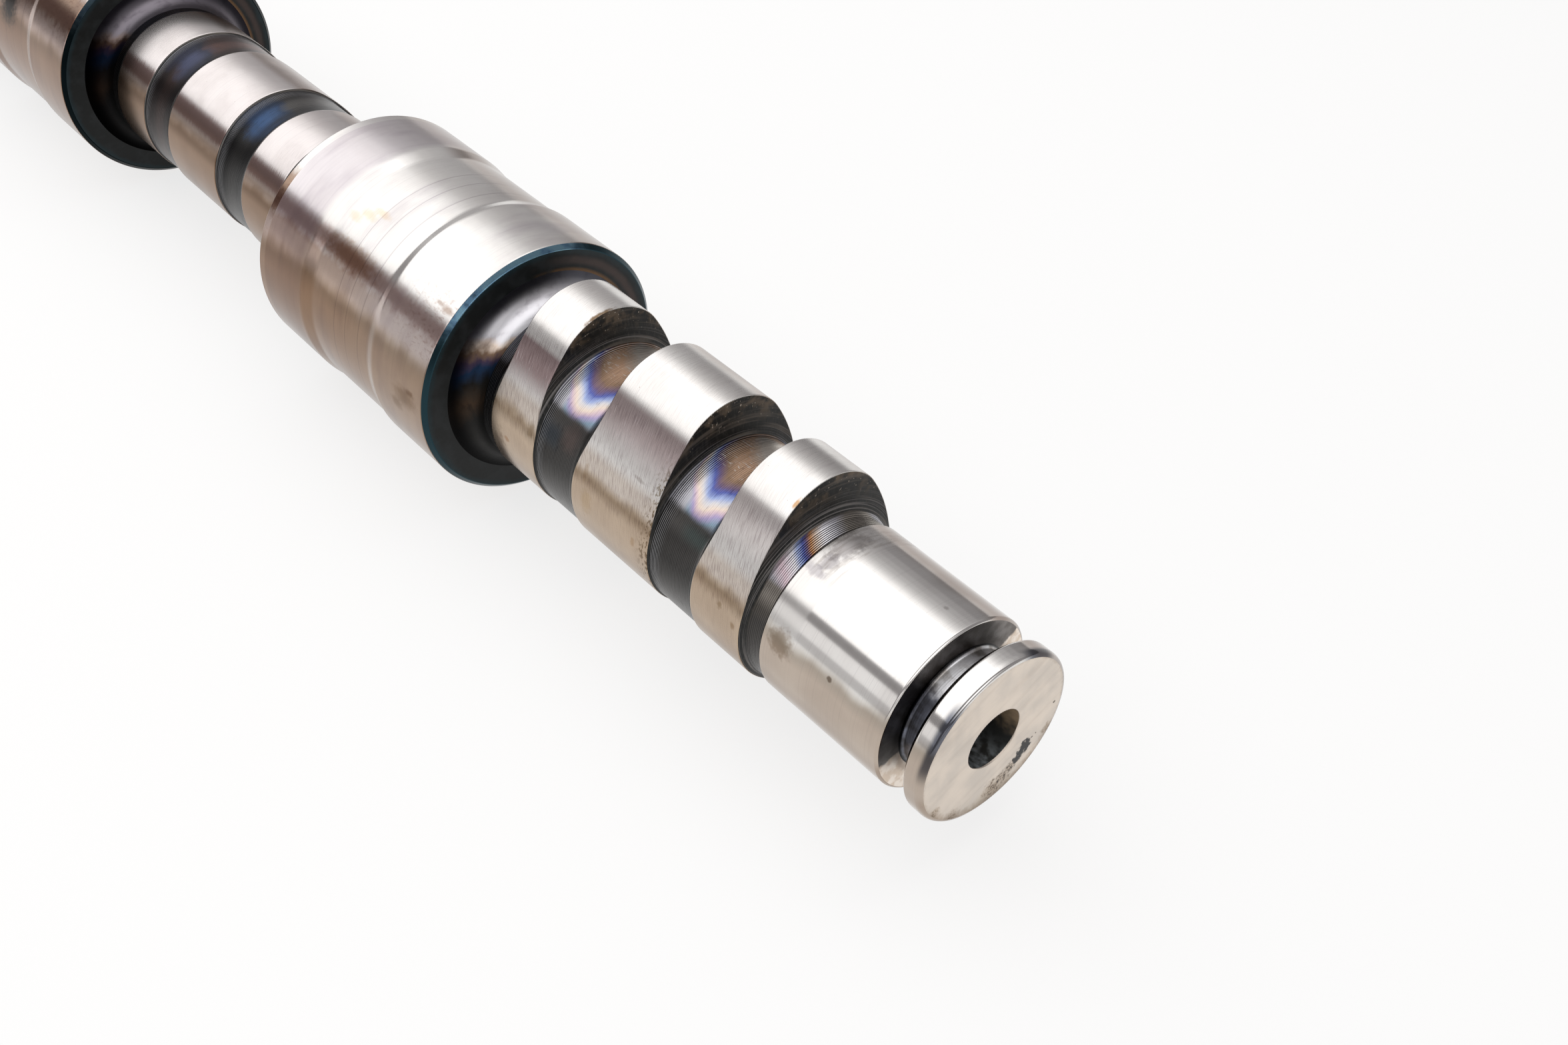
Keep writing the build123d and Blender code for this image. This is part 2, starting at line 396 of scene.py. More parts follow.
def add_turned_map(mesh, rows, count):
    """The skin's own map: along is the share of the way along the outline, across the angle."""
    centre = rows.mean(axis=2)
    steps = np.hypot(*np.diff(centre, axis=0).T)
    way = np.concatenate([[0.0], np.cumsum(steps)])
    way = way / way[-1]
    i, j = np.meshgrid(np.arange(1, count), np.arange(COLUMNS), indexing="ij")
    i = i.ravel()
    j = j.ravel()
    u = np.stack([way[i], way[i + 1], way[i + 1], way[i]], axis=1)
    v = np.stack([j, j, j + 1, j + 1], axis=1) / COLUMNS
    column = np.arange(COLUMNS)
    ones = np.ones(COLUMNS)
    first_u = np.stack([way[0] * ones, way[1] * ones, way[1] * ones], axis=1)
    first_v = np.stack([column + 0.5, column, column + 1], axis=1) / COLUMNS
    last_u = np.stack([way[-2] * ones, way[-1] * ones, way[-2] * ones], axis=1)
    last_v = np.stack([column, column + 0.5, column + 1], axis=1) / COLUMNS
    along = np.concatenate([first_u.ravel(), u.ravel(), last_u.ravel()])
    across = np.concatenate([first_v.ravel(), v.ravel(), last_v.ravel()])
    layer = mesh.uv_layers.new(name="Turned")
    layer.data.foreach_set("uv", np.stack([along, across], axis=1).ravel())


def look(red, green, blue, gain=1.0):
    """A colour as it looks, each part from 0 to 255, made linear and divided by the light on it."""
    parts = np.array([red, green, blue]) / 255.0
    linear = np.where(parts <= 0.04045, parts / 12.92, ((parts + 0.055) / 1.055) ** 2.4)
    return tuple(float(v) for v in linear / gain)


class Finish:
    """A material in the making: its shader, and the place on the shaft that patterns follow.

    x, y and z are the place in millimetres and angle the turn from +Z towards +Y in degrees, all
    worked out from Object coordinates.
    """

    def __init__(self, name, metallic=1.0, specular=0.5):
        self.material = bpy.data.materials.new(name)
        self.material.use_nodes = True
        self.nodes = self.material.node_tree.nodes
        self.links = self.material.node_tree.links
        self.shader = self.nodes["Principled BSDF"]
        self.shader.inputs["Metallic"].default_value = metallic
        self.shader.inputs["Specular IOR Level"].default_value = specular
        self.where = self.nodes.new("ShaderNodeTexCoord").outputs["Object"]
        split = self.nodes.new("ShaderNodeSeparateXYZ")
        self.links.new(self.where, split.inputs[0])
        self.x, self.y, self.z = [self.times(split.outputs[axis], 1.0 / MM) for axis in "XYZ"]
        self.angle = self.maths("DEGREES", self.maths("ARCTAN2", self.y, self.z))

    def put(self, socket, value):
        """Set a socket to a number or colour, or link what makes it."""
        if isinstance(value, bpy.types.NodeSocket):
            self.links.new(value, socket)
        elif isinstance(value, tuple) and len(socket.default_value) == 4:
            socket.default_value = (*value[:3], 1.0)
        else:
            socket.default_value = value

    def node(self, kind, *values):
        """A new node with its first sockets put."""
        node = self.nodes.new(kind)
        for socket, value in zip(node.inputs, values):
            self.put(socket, value)
        return node

    def maths(self, operation, *values):
        """One sum on numbers."""
        node = self.node("ShaderNodeMath", *values)
        node.operation = operation
        return node.outputs[0]

    def times(self, value, *others):
        """The product of all the values."""
        for other in others:
            value = self.maths("MULTIPLY", value, other)
        return value

    def plus(self, value, *others):
        """The sum of all the values."""
        for other in others:
            value = self.maths("ADD", value, other)
        return value

    def minus(self, value, other):
        """The value less the other."""
        return self.maths("SUBTRACT", value, other)

    def vector(self, operation, *values):
        """One sum on vectors, which gives a number for a length or a dot product."""
        node = self.node("ShaderNodeVectorMath", *values)
        node.operation = operation
        return node.outputs["Value" if operation in ("LENGTH", "DOT_PRODUCT") else "Vector"]

    def joined(self, *values):
        """A vector of three numbers."""
        return self.node("ShaderNodeCombineXYZ", *values).outputs[0]

    def radius(self, y=0.0, z=0.0):
        """The distance in millimetres from the shaft's axis, or from a line along it at y and z."""
        return self.vector("LENGTH", self.joined(self.minus(self.y, y), self.minus(self.z, z), 0.0))

    def cylinder(self):
        """The place in millimetres as along the first cylinder, and 1 on the farther cylinders."""
        group = self.maths("FLOOR", self.maths("DIVIDE", self.minus(self.x, GROUP_START), PITCH))
        return self.minus(self.x, self.times(group, PITCH)), self.fade(group, 0.4, 0.6)

    def fade(self, value, start, end):
        """Runs smoothly from 0 at start to 1 at end."""
        node = self.node("ShaderNodeMapRange", value, start, end)
        node.interpolation_type = "SMOOTHSTEP"
        return node.outputs["Result"]

    def band(self, value, low, high, soft):
        """1 between low and high, with soft edges."""
        rising = self.fade(value, low - soft, low + soft)
        return self.times(rising, self.fade(value, high + soft, high - soft))

    def noise(self, size, detail=2.0, vector=None):
        """Noise about 0.5, with a cell of a size in millimetres, the same or one for each axis.

        On a vector of its own the size is in that vector's units.
        """
        sizes = size if isinstance(size, tuple) else (size, size, size)
        unit = 1.0 / MM if vector is None else 1.0
        node = self.nodes.new("ShaderNodeTexNoise")
        node.inputs["Scale"].default_value = 1.0
        node.inputs["Detail"].default_value = detail
        scaled = self.vector("MULTIPLY", vector or self.where, tuple(unit / s for s in sizes))
        self.put(node.inputs["Vector"], scaled)
        return node.outputs["Fac"]

    def wobble(self, value, noise, reach):
        """The value moved by up to half of reach either way."""
        return self.plus(value, self.times(self.minus(noise, 0.5), reach))

    def mix(self, share, low, high, blend="MIX"):
        """The low colour where share is 0 and the high one, or their blend, where it is 1.

        The node's sockets for colours are its inputs 6 and 7 and its output 2.
        """
        node = self.nodes.new("ShaderNodeMix")
        node.data_type = "RGBA"
        node.blend_type = blend
        self.put(node.inputs[0], share)
        self.put(node.inputs[6], low)
        self.put(node.inputs[7], high)
        return node.outputs[2]

    def stain(self, colour, share, tint, strength=1.0):
        """The colour multiplied by a tint where share is 1."""
        if strength != 1.0:
            share = self.times(share, strength)
        return self.mix(share, colour, tint, "MULTIPLY")

    def ramp(self, value, stops):
        """A run of colours, each at its own place on the value's scale."""
        low = stops[0][0]
        high = stops[-1][0]
        along = self.node("ShaderNodeMapRange", value, low, high)
        colours = self.node("ShaderNodeValToRGB", along.outputs["Result"])
        band = colours.color_ramp
        while len(band.elements) < len(stops):
            band.elements.new(0.5)
        for element, (place, colour) in zip(band.elements, stops):
            element.position = (place - low) / (high - low)
            element.color = (*colour, 1.0)
        return colours.outputs["Color"]

    def spot(self, x, angle, long, wide, torn, soft):
        """1 in a patch of the skin about a place, half long by half wide, with a torn soft edge."""
        off = self.vector("SUBTRACT", self.joined(self.x, self.angle, 0.0), (x, angle, 0.0))
        far = self.vector("LENGTH", self.vector("MULTIPLY", off, (1.0 / long, 1.0 / wide, 0.0)))
        far = self.wobble(far, self.noise(1.1, 3.0), torn * 2.0)
        return self.fade(far, 1.0 + soft / 2.0, 1.0 - soft / 2.0)

    def marked(self, colour, marks, torn, soft):
        """The colour with small stains, each given by its spot's place and size and its tint."""
        for *place, tint in marks:
            colour = self.stain(colour, self.spot(*place, torn, soft), tint)
        return colour

    def finish(self, colour, roughness, height=None, depth=0.0):
        """Give the shader its colour and gloss, and a height pattern of a depth in millimetres."""
        self.put(self.shader.inputs["Base Color"], colour)
        self.put(self.shader.inputs["Roughness"], roughness)
        if height is not None:
            bump = self.nodes.new("ShaderNodeBump")
            bump.inputs["Strength"].default_value = 1.0
            bump.inputs["Distance"].default_value = depth * MM
            self.links.new(height, bump.inputs["Height"])
            self.links.new(bump.outputs["Normal"], self.shader.inputs["Normal"])
        return self.material


# ground and turned steel, and the painted shade and warm painted reflection on the sides that face
# down, with a painted dark streak in front and painted shade behind
BRIGHT_STEEL = (0.735, 0.715, 0.69)
WORN_STEEL = (0.67, 0.645, 0.62)
PAINTED_SHADE_FRONT = (0.66, 0.575, 0.50)
PAINTED_SHADE_BACK = (0.60, 0.555, 0.53)
PAINTED_STREAK = (0.60, 0.56, 0.50)
PAINTED_SHADE_BEHIND = (0.76, 0.70, 0.67)
PAINTED_SHADE_BELOW = (0.76, 0.71, 0.67)
# the middle line of the bright stretch on top that has no painted shade, in degrees
UNSHADED_CENTRE = 20.0


def ground_colour(f, patch=12.0):
    """Steel with faint large patches, fine lines round the shaft, and painted shade and painted
    reflection lower down.
    """
    patches = f.noise(patch, 3.0)
    lines = f.noise((0.22, 45.0, 45.0), 3.0)
    colour = f.mix(f.fade(patches, 0.35, 0.65), BRIGHT_STEEL, WORN_STEEL)
    colour = f.stain(colour, f.fade(lines, 0.5, 0.75), (0.93, 0.925, 0.93))
    # painted shade and warm painted reflection away from the top, a painted dark streak of reflection
    # at 43 to 50 degrees in front, and painted shade behind and underneath
    away = f.maths("PINGPONG", f.maths("ABSOLUTE", f.minus(f.angle, UNSHADED_CENTRE)), 180.0)
    away = f.wobble(away, patches, 14.0)
    front = f.fade(f.angle, -10.0, 10.0)
    colour = f.stain(colour, f.fade(away, 38.0, 54.0), f.mix(front, PAINTED_SHADE_BACK, PAINTED_SHADE_FRONT))
    colour = f.stain(colour, f.times(f.band(away, 43.0, 50.0, 5.0), front), PAINTED_STREAK, 0.9)
    colour = f.stain(colour, f.band(f.angle, -45.0, -27.0, 6.0), PAINTED_SHADE_BEHIND)
    below = f.times(f.fade(f.angle, 92.0, 106.0), f.fade(f.angle, 170.0, 150.0))
    colour = f.stain(colour, below, PAINTED_SHADE_BELOW)
    return colour, lines, patches


def collar_rim_finish():
    """The ground rim, with a painted dark reflection in slate grey on its bevel in front below and on
    the back.
    """
    f = Finish("collar_rim")
    colour, lines, patches = ground_colour(f)
    turn = f.wobble(f.angle, patches, 8.0)
    # painted dark reflection in slate grey on the bevel, low in front and on the back
    slate = f.maths("MAXIMUM", f.band(turn, 32.0, 80.0, 8.0), f.band(turn, -46.0, -22.0, 6.0))
    slate = f.times(slate, f.fade(f.wobble(f.x, patches, 0.8), 2.1, 0.9))
    colour = f.stain(colour, slate, (0.20, 0.215, 0.26))
    return f.finish(colour, f.wobble(0.12, patches, 0.06), lines, 0.0005)


def collar_face_finish():
    """A faced end: warm satin steel with soft slanting wipes, and pitted low on one side."""
    f = Finish("collar_face")
    slant = math.radians(160.0)
    along = f.vector("DOT_PRODUCT", f.where, (0.0, math.cos(slant), math.sin(slant)))
    across = f.vector("DOT_PRODUCT", f.where, (0.0, -math.sin(slant), math.cos(slant)))
    wipes = f.noise((30.0 * MM, 2.2 * MM, 1.0), 3.0, f.joined(along, across, 0.0))
    patches = f.noise(6.0, 3.0)
    colour = f.mix(f.fade(patches, 0.3, 0.7), (0.72, 0.63, 0.54), (0.60, 0.535, 0.47))
    colour = f.stain(colour, f.fade(wipes, 0.45, 0.7), (0.88, 0.865, 0.855), 0.6)
    ragged = f.noise(1.3, 3.0)
    specks = f.fade(f.noise(0.55), 0.46, 0.6)
    for y, z, size, deep in COLLAR_PITS:
        far = f.wobble(f.radius(y, z), ragged, size * 2.4)
        colour = f.stain(colour, f.fade(far, size, size * 0.6), deep)
    for y, z, size, deep in COLLAR_SMEARS:
        far = f.wobble(f.radius(y, z), ragged, size * 2.0)
        smear = f.fade(far, size * 1.3, size * 0.2)
        colour = f.stain(colour, smear, (0.72, 0.67, 0.61))
        colour = f.stain(colour, f.times(smear, specks), deep)
    low = f.fade(f.wobble(f.z, patches, 6.0), -12.0, -17.5)
    colour = f.stain(colour, low, (0.62, 0.60, 0.55), 0.8)
    rim = f.fade(f.wobble(f.radius(), ragged, 1.6), 16.9, 17.8)
    colour = f.stain(colour, rim, (0.66, 0.62, 0.57), 0.7)
    darkened = f.fade(f.wobble(f.radius(), ragged, 3.0), 15.4, 17.6)
    colour = f.stain(colour, f.times(darkened, f.fade(f.z, -5.0, -11.0)), (0.58, 0.51, 0.44), 0.8)
    return f.finish(colour, f.wobble(0.3, wipes, 0.12))


# pits on the collar's face: y, z, half size in millimetres and how dark
COLLAR_PITS = (
    (-8.9, -8.9, 1.7, (0.012, 0.012, 0.011)),
    (-8.1, -10.2, 1.65, (0.012, 0.012, 0.011)),
    (-7.0, -11.4, 1.3, (0.03, 0.027, 0.024)),
    (-10.7, -7.9, 0.3, (0.15, 0.14, 0.12)),
    (-11.6, -7.5, 0.25, (0.15, 0.14, 0.12)),
    (-15.6, -2.0, 0.36, (0.2, 0.18, 0.16)),
)
# rough patches there, in the same way
COLLAR_SMEARS = (
    (-5.6, -12.2, 1.6, (0.12, 0.10, 0.08)),
    (-3.6, -13.6, 2.2, (0.20, 0.16, 0.13)),
    (-1.0, -15.0, 2.6, (0.32, 0.26, 0.21)),
    (9.4, -14.4, 2.0, (0.55, 0.50, 0.43)),
    (14.4, -9.2, 1.6, (0.6, 0.55, 0.48)),
    (-14.6, -8.2, 1.4, (0.6, 0.55, 0.48)),
)


def bore_finish():
    """A drilled wall: dark with a brown bloom, a few painted glints low near the mouth, and painted
    shade deeper in.
    """
    f = Finish("bore_wall", metallic=0.2)
    patches = f.noise((2.2, 1.6, 1.6), 3.0)
    side = f.wobble(f.maths("DIVIDE", f.minus(f.z, f.y), BORE_RADIUS), patches, 1.2)
    colour = f.mix(f.fade(side, 0.1, 1.3), (0.035, 0.037, 0.036), (0.42, 0.31, 0.20))
    # painted glints: painted highlights on the lower side of the wall
    painted_glints = f.times(f.fade(patches, 0.36, 0.66), f.fade(side, 0.1, -0.8), 0.5)
    colour = f.mix(painted_glints, colour, (0.42, 0.47, 0.50))
    # painted shade, darker deeper in the bore
    colour = f.stain(colour, f.fade(f.x, 3.0, 14.0), (0.1, 0.1, 0.1))
    return f.finish(colour, f.wobble(0.4, patches, 0.3), patches, 0.05)


def groove_finish():
    """The turned groove: bright on top, painted shade in slate grey in front below, and painted shade
    black in its corners.
    """
    f = Finish("groove")
    patches = f.noise(3.0, 3.0)
    rings = f.noise((0.3, 20.0, 20.0), 3.0)
    colour = f.mix(f.fade(patches, 0.42, 0.7), (0.70, 0.70, 0.72), (0.3, 0.28, 0.26))
    # painted shade, slate grey on the lower front of the groove
    lower = f.band(f.wobble(f.angle, patches, 30.0), 34.0, 130.0, 8.0)
    colour = f.stain(colour, lower, (0.20, 0.21, 0.25))
    # painted shade, black in the groove's fillet corners
    colour = f.stain(colour, f.fade(f.radius(), 12.5, 13.0), (0.08, 0.08, 0.08))
    return f.finish(colour, 0.3, rings, 0.02)


def end_face_finish():
    """The end journal's near face: smooth steel with painted reflection, dark where it mirrors the
    collar's back and beige high and low where it mirrors the floor.
    """
    f = Finish("end_face")
    cloud = f.noise(2.0, 4.0)
    dark = f.mix(f.fade(cloud, 0.35, 0.65), (0.20, 0.185, 0.175), (0.13, 0.115, 0.105))
    beige = f.mix(f.fade(cloud, 0.4, 0.6), (0.86, 0.77, 0.68), (0.70, 0.58, 0.47))
    # painted reflection: dark where the face mirrors the collar's back, beige where it mirrors the
    # floor
    colour = f.mix(f.band(f.wobble(f.angle, cloud, 6.0), -60.0, 101.0, 1.5), beige, dark)
    colour = f.stain(colour, f.fade(f.radius(), 15.4, 14.0), (0.6, 0.57, 0.55))
    return f.finish(colour, f.wobble(0.3, cloud, 0.14), cloud, 0.01)


def end_journal_finish():
    """A ground, nearly mirror-bright journal with a duller worn belt at its far end."""
    f = Finish("end_journal")
    colour, lines, patches = ground_colour(f)
    belt = f.fade(f.x, 34.2, 34.8)
    streaks = f.noise((0.7, 5.0, 5.0), 4.0)
    rubbed = f.times(belt, f.fade(f.wobble(streaks, patches, 0.2), 0.42, 0.66))
    rubbed = f.times(rubbed, f.fade(f.wobble(f.angle, streaks, 20.0), 34.0, 18.0))
    colour = f.stain(colour, rubbed, (0.70, 0.68, 0.66), 0.75)
    colour = f.marked(colour, END_JOURNAL_MARKS, 0.7, 0.9)
    gloss = f.plus(f.wobble(0.13, patches, 0.05), f.times(belt, 0.07))
    return f.finish(colour, gloss, lines, 0.0006)


# marks: x, angle, half length in millimetres, half width in degrees, tint; the others alike
END_JOURNAL_MARKS = (
    (39.0, -2.0, 2.6, 13.0, (0.55, 0.54, 0.55)),
    (38.4, 14.0, 1.6, 6.0, (0.62, 0.61, 0.63)),
    (39.3, 23.0, 2.2, 3.0, (0.7, 0.69, 0.72)),
    (37.4, 69.0, 2.6, 8.0, (0.6, 0.55, 0.5)),
    (24.6, 66.0, 0.5, 1.4, (0.4, 0.36, 0.33)),
    (16.5, -9.0, 0.5, 1.3, (0.7, 0.69, 0.68)),
)


# the middle line of the hardening heat in degrees, and the tool rings' pitch in millimetres
HEAT_CENTRE = -30.0
RING_PITCH = 0.42


def heat_turn(f):
    """The angle from the heat's middle line, alike on both sides, as the plain angle in front."""
    turned = f.maths("ABSOLUTE", f.minus(f.angle, HEAT_CENTRE))
    return f.plus(f.maths("PINGPONG", turned, 180.0), HEAT_CENTRE)


def tool_rings(f, place, pitch):
    """A wave from -1 to 1 that repeats with a pitch in millimetres, as turning leaves it."""
    return f.maths("SINE", f.times(place, 2.0 * math.pi / pitch))


# the colours that hardening heat leaves on steel, as they look in plain light
SCALE = (66, 64, 62)
ASHEN = (120, 115, 108)
PLAIN = (190, 189, 195)
WHITE = (240, 238, 242)
STRAW = (240, 222, 206)
ORANGE = (206, 148, 98)
BROWN = (160, 131, 108)
PURPLE = (120, 102, 132)
BLUE = (96, 108, 180)
SKY = (164, 180, 222)
PINK = (220, 196, 204)
LILAC = (182, 168, 206)
CYAN = (152, 177, 196)
STEEL_BLUE = (64, 94, 136)
TEAL = (66, 82, 80)
EMBER = (96, 82, 78)
RIM_PALE = (140, 182, 202)
RIM_BLUE = (112, 150, 182)
SLATE = (54, 62, 70)


def heated(*stops):
    """Stops of a ramp, each from a place in degrees, a colour and how much light falls on it."""
    return [(place, look(*colour, light)) for place, colour, light in stops]


FIRST_NECK_HEAT = heated(
    (-50, ASHEN, 0.45),
    (-14, ASHEN, 0.45),
    (-5, PLAIN, 0.85),
    (4, WHITE, 1.1),
    (9, STRAW, 1.45),
    (14, ORANGE, 1.4),
    (17, PURPLE, 1.4),
    (20, BLUE, 1.6),
    (24, SKY, 1.45),
    (28, WHITE, 1.45),
    (37, PINK, 1.4),
    (46, PLAIN, 1.4),
)
# painted shade for the side of the neck that turns away from the lamps
FIRST_NECK_BELOW = heated(
    (40, ASHEN, 0.6),
    (52, ASHEN, 0.8),
    (60, ASHEN, 1.8),
    (68, SCALE, 0.85),
    (180, SCALE, 0.7),
)


def first_neck_finish():
    """The turned neck before the first lobe: tool rings, a narrow run of heat colours, and painted
    shade where it turns away.
    """
    f = Finish("first_neck")
    uneven = f.noise((2.0, 5.0, 5.0), 3.0)
    slant = f.times(f.minus(f.x, 43.2), 2.0)
    late = f.times(f.fade(f.x, 45.8, 48.0), 14.0)
    plain = heat_turn(f)
    colour = f.ramp(f.wobble(f.plus(plain, slant, late), uneven, 4.0), FIRST_NECK_HEAT)
    # past 41 to 45 degrees the heat colours give way to this painted shade
    colour = f.mix(f.fade(plain, 41.0, 45.0), colour, f.ramp(plain, FIRST_NECK_BELOW))
    rings = tool_rings(f, f.x, RING_PITCH)
    colour = f.stain(colour, f.fade(rings, 0.1, 0.8), (0.42, 0.41, 0.44), 0.8)
    colour = f.stain(colour, f.fade(f.x, 45.4, 46.4), (0.2, 0.19, 0.19), 0.85)
    height = f.plus(f.times(rings, 0.5), f.noise((0.15, 30.0, 30.0)))
    return f.finish(colour, 0.27, height, 0.028)


# heat colours; their paleness from about 20 to 40 degrees is partly painted highlight
NECK_HEAT = heated(
    (-60, SCALE, 0.22),
    (-24, ASHEN, 0.30),
    (-14, ASHEN, 0.29),
    (-3, BROWN, 0.64),
    (8, BROWN, 0.95),
    (13, BROWN, 1.4),
    (19, PURPLE, 1.35),
    (23, BLUE, 1.35),
    (27, SKY, 1.35),
    (31, WHITE, 1.65),
    (35, STRAW, 1.35),
    (38, PINK, 1.35),
    (41, LILAC, 1.35),
    (46, CYAN, 1.35),
    (56, PLAIN, 1.35),
)
# painted shade for the side of the neck that turns away from the lamps
NECK_BELOW = heated(
    (40, SCALE, 0.55),
    (52, SCALE, 0.72),
    (60, SCALE, 1.1),
    (75, SCALE, 1.5),
    (100, SCALE, 0.9),
    (180, SCALE, 0.65),
)
BLUED_HEAT = heated(
    (-50, SCALE, 0.4),
    (-4, SCALE, 0.8),
    (6, STEEL_BLUE, 3.2),
    (16, STEEL_BLUE, 1.7),
    (26, STEEL_BLUE, 1.9),
    (38, SCALE, 3.0),
    (60, SCALE, 2.8),
    (180, SCALE, 1.6),
)
# for each neck of a cylinder: the V's middle, its slope in degrees per millimetre on the near
# and far side, where it steepens, and how far its colours come late
NECK_VEES = ((66.6, 1.6, 2.7, 72.9, 0.0), (104.7, 2.3, 2.6, 110.9, 2.0))
VEE_HALF_FOOT = 0.7
VEE_STEEP_SLOPE = 9.0
# the middle of the blued stretch on each neck of the farther cylinders
BLUED_MIDDLES = (66.6, 104.0)


def neck_vee(f, local, vee):
    """How many degrees a colour band lies back from the V's foot, at each place along the neck."""
    middle, near_slope, far_slope, steep_from, late = vee
    off = f.minus(local, middle)
    near = f.times(f.maths("MAXIMUM", f.minus(-VEE_HALF_FOOT, off), 0.0), near_slope)
    far = f.times(f.maths("MAXIMUM", f.minus(off, VEE_HALF_FOOT), 0.0), far_slope)
    steep = f.times(f.maths("MAXIMUM", f.minus(local, steep_from), 0.0), VEE_STEEP_SLOPE)
    return f.minus(f.plus(near, far, steep), late)


def neck_finish():
    """The necks between lobes: hardening heat has left bands of colour in a V on each one.

    The bands follow the turn plus what the V lies back. They are real heat tints, painted pale on top
    as a highlight, and they stop where the neck turns away and painted shade darkens it. The farther
    cylinders' necks were blued darker.
    """
    f = Finish("neck")
    local, farther = f.cylinder()
    second = f.fade(local, 84.0, 86.0)

    def towards_lobe(first_neck, second_neck):
        """Runs from 0 to 1 between two places on either neck."""
        return f.mix(second, f.fade(local, *first_neck), f.fade(local, *second_neck))

    first_vee, second_vee = [neck_vee(f, local, vee) for vee in NECK_VEES]
    back = f.plus(first_vee, f.times(f.minus(second_vee, first_vee), second))
    plain = heat_turn(f)
    turn = f.plus(plain, back)
    uneven = f.noise((4.0, 5.0, 5.0), 4.0)
    colour = f.ramp(f.wobble(turn, uneven, 9.0), NECK_HEAT)
    pale = f.times(towards_lobe((68.5, 70.5), (107.5, 109.5)), f.fade(turn, 38.0, 42.0))
    colour = f.mix(pale, colour, look(*PLAIN, 1.35))
    below = f.ramp(plain, NECK_BELOW)
    teal = f.times(f.band(plain, 47.0, 56.0, 4.0), f.fade(local, 69.0, 65.0), 0.5)
    below = f.mix(teal, below, look(*TEAL, 0.9))
    glow = f.times(f.spot(102.6, 54.0, 2.2, 8.0, 0.5, 1.4), 0.55)
    below = f.mix(glow, below, look(*EMBER, 0.9))
    cold = f.times(f.band(plain, 53.0, 66.0, 5.0), f.fade(local, 104.0, 107.0), 0.6)
    below = f.mix(cold, below, look(*SLATE, 0.95))
    # past 40 to 45 degrees the heat colours give way to this painted shade
    colour = f.mix(f.fade(f.wobble(plain, uneven, 4.0), 40.5, 45.5), colour, below)
    first_middle, second_middle = BLUED_MIDDLES
    blued_middle = f.plus(first_middle, f.times(second, second_middle - first_middle))
    off = f.maths("ABSOLUTE", f.minus(local, blued_middle))
    blued = f.ramp(f.wobble(plain, uneven, 26.0), BLUED_HEAT)
    blued = f.stain(blued, second, (1.35, 0.72, 0.62))
    blued = f.stain(blued, f.fade(off, 0.8, 3.6), (0.34, 0.33, 0.34))
    colour = f.mix(farther, colour, blued)
    fine = f.noise((0.18, 14.0, 14.0), 3.0)
    scuffs = f.noise((0.5, 2.4, 2.4), 4.0)
    bare = f.times(f.fade(f.noise((1.4, 0.5, 0.9), 5.0), 0.56, 0.7), f.fade(plain, 14.0, 4.0), 0.6)
    colour = f.mix(f.times(bare, f.minus(1.0, farther)), colour, (0.66, 0.64, 0.61))
    colour = f.stain(colour, f.fade(fine, 0.48, 0.72), (0.76, 0.75, 0.76), 0.8)
    colour = f.stain(colour, f.fade(scuffs, 0.58, 0.72), (0.6, 0.58, 0.6), 0.7)
    rings = tool_rings(f, f.x, RING_PITCH)
    edge_rings = f.maths("MAXIMUM", towards_lobe((69.6, 72.6), (108.0, 110.8)), 0.12)
    grooved = f.times(f.fade(f.wobble(rings, fine, 2.0), -0.3, 0.6), edge_rings)
    colour = f.stain(colour, grooved, (0.12, 0.12, 0.13), 0.9)
    ridge = f.times(f.fade(rings, -0.7, -1.0), edge_rings, 0.5)
    colour = f.mix(ridge, colour, (0.62, 0.62, 0.65))
    colour = f.stain(colour, towards_lobe((72.8, 74.4), (111.0, 112.6)), (0.25, 0.25, 0.26))
    height = f.plus(f.times(rings, edge_rings), fine)
    return f.finish(colour, f.wobble(0.3, scuffs, 0.12), height, 0.024)


FLARE_HEAT = heated(
    (-60, PLAIN, 0.6),
    (-20, WHITE, 1.15),
    (27, WHITE, 1.25),
    (32, STRAW, 1.25),
    (37, BROWN, 1.6),
    (42, PURPLE, 2.8),
    (48, STEEL_BLUE, 3.2),
    (60, SCALE, 3.0),
    (72, BROWN, 7.5),
    (84, SCALE, 3.6),
)


def flare_finish():
    """The flare into a journal: pale on top, with straw, brown and blue running off slantwise."""
    f = Finish("flare")
    local, farther = f.cylinder()
    uneven = f.noise((1.8, 4.0, 4.0), 4.0)
    slant = f.times(f.minus(local, JOURNAL_START - FLARE_LENGTH), -2.6)
    colour = f.ramp(f.wobble(f.plus(heat_turn(f), slant), uneven, 16.0), FLARE_HEAT)
    colour = f.stain(colour, f.fade(local, 134.0, 135.9), (0.08, 0.08, 0.09))
    colour = f.stain(colour, farther, (0.26, 0.24, 0.26))
    colour = f.stain(colour, f.fade(uneven, 0.5, 0.7), (0.62, 0.6, 0.62), 0.7)
    return f.finish(colour, f.wobble(0.4, uneven, 0.15), uneven, 0.03)


